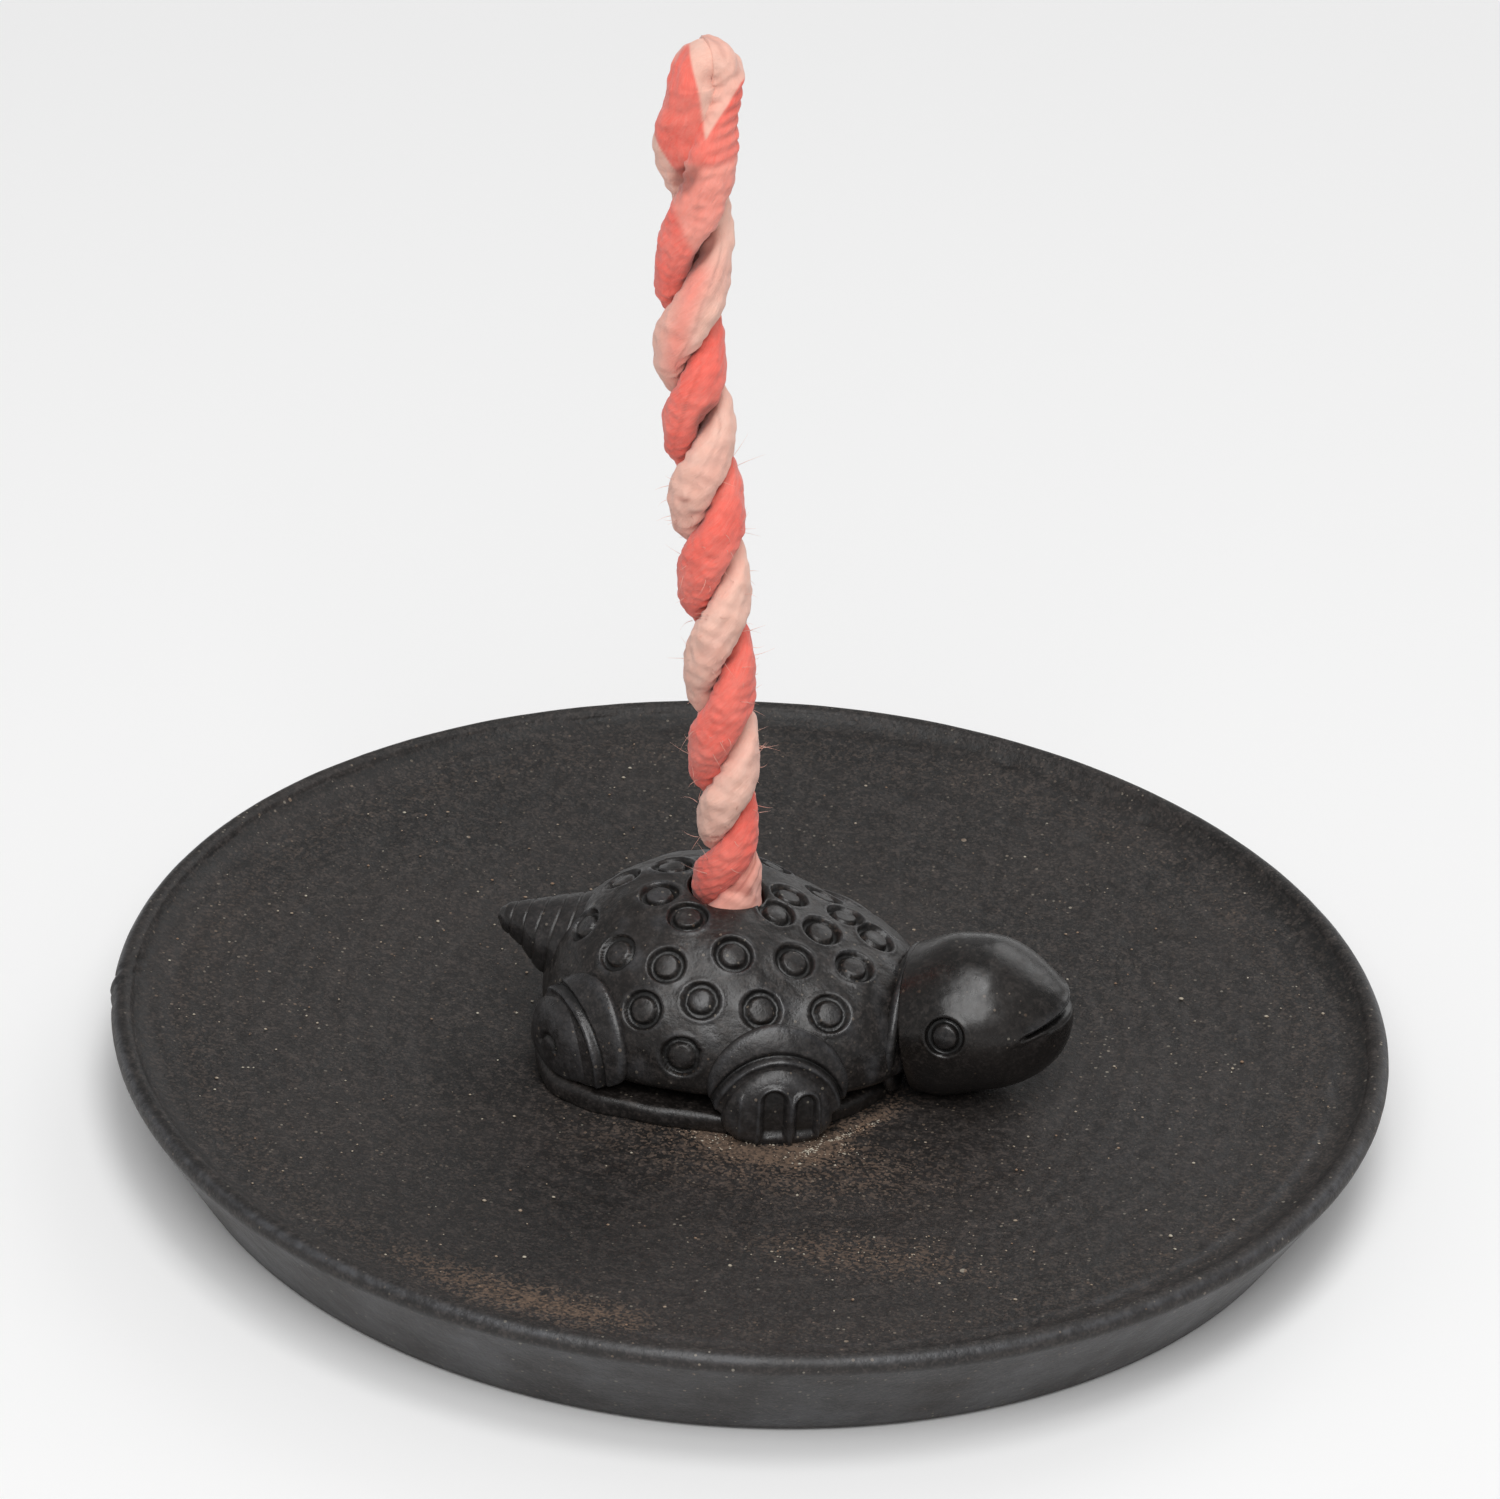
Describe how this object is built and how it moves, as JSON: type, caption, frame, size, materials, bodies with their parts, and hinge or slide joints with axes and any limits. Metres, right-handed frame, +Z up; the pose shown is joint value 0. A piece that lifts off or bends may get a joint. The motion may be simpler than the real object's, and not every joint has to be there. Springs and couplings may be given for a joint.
{
  "type": "incense burner",
  "caption": "Black clay incense burner: a shallow dish with a ring-stamped tortoise at its middle that holds a twisted paper rope incense in its back.",
  "frame": {"origin": "middle of the dish's flat base", "axes": "+Z up, +X the way the tortoise heads, +Y to the tortoise's left"},
  "size_m": [0.115, 0.115, 0.1041],
  "materials": {
    "black_clay": "burnished",
    "red_paper": "matte",
    "pale_paper": "matte",
    "incense_powder": "matte"
  },
  "bodies": {
    "burner": {"dish": "black_clay", "belly_plate": "black_clay", "shell": "black_clay", "neck_collar": "black_clay", "head": "black_clay", "tail": "black_clay", "front_left_leg": "black_clay", "front_right_leg": "black_clay", "rear_left_leg": "black_clay", "rear_right_leg": "black_clay"},
    "incense": {"red_paper_wrapper": "red_paper", "pale_paper_wrapper": "pale_paper", "incense_filling": "incense_powder"}
  },
  "joints": [
    {"name": "incense_lift", "type": "slide", "parent": "burner", "child": "incense", "axis": [-0.1011, 0, 0.9949], "range_m": [0, 0.03]}
  ]
}
